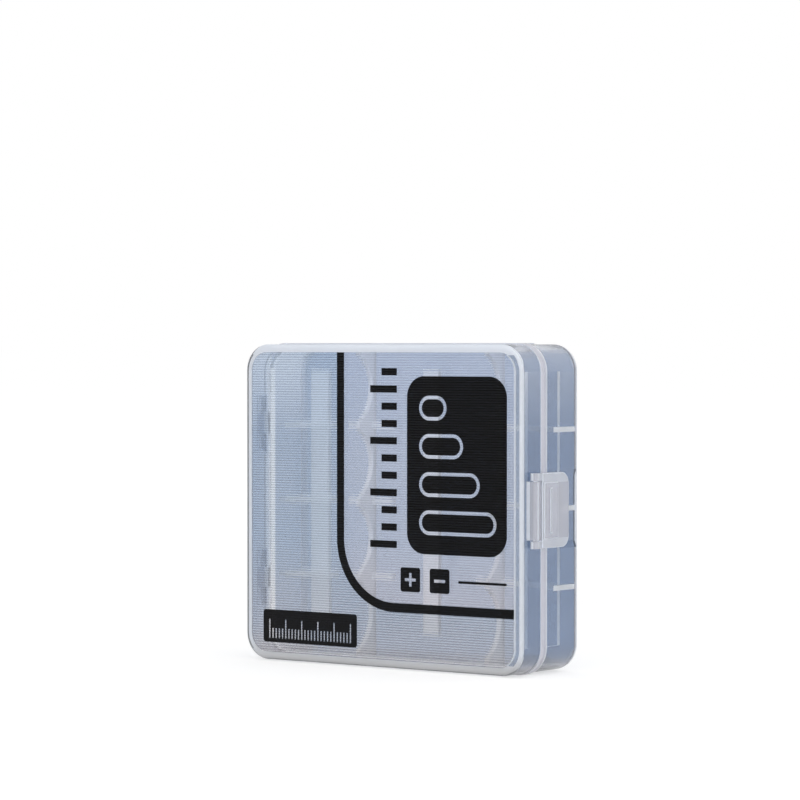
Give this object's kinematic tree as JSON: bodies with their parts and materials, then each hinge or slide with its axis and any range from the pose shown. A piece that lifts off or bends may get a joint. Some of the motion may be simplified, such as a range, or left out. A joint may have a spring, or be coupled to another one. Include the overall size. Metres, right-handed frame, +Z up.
{
  "type": "battery case",
  "caption": "Frosted see-through plastic case that holds round lithium cells side by side in moulded cradles, with a side-hinged lid and a swing latch that hooks over a catch.",
  "frame": {"origin": "middle of the closed case's footprint, on the plane that it stands on", "axes": "+X from the hinge side to the latch side, +Y from the lid's face to the back, +Z up, along the hinge"},
  "size_m": [0.0894, 0.0236, 0.0776],
  "materials": {
    "case_plastic": "frosted translucent polypropylene",
    "latch_plastic": "frosted translucent polypropylene, thicker",
    "pin_plastic": "extruded natural plastic rod"
  },
  "bodies": {
    "base": {"base_shell": "case_plastic", "hinge_pin_upper": "pin_plastic", "hinge_pin_lower": "pin_plastic"},
    "lid": {"lid_shell": "case_plastic"},
    "latch": {"latch": "latch_plastic", "latch_pin": "pin_plastic"}
  },
  "joints": [
    {"name": "lid_hinge", "type": "hinge", "parent": "base", "child": "lid", "pos_m": [-0.04325, -0.00335, 0.0388], "axis": [0, 0, -1], "range_deg": [0, 180]},
    {"name": "latch_pivot", "type": "hinge", "parent": "lid", "child": "latch", "pos_m": [0.04325, -0.00905, 0.0388], "axis": [0, 0, -1], "range_deg": [0, 110]}
  ]
}
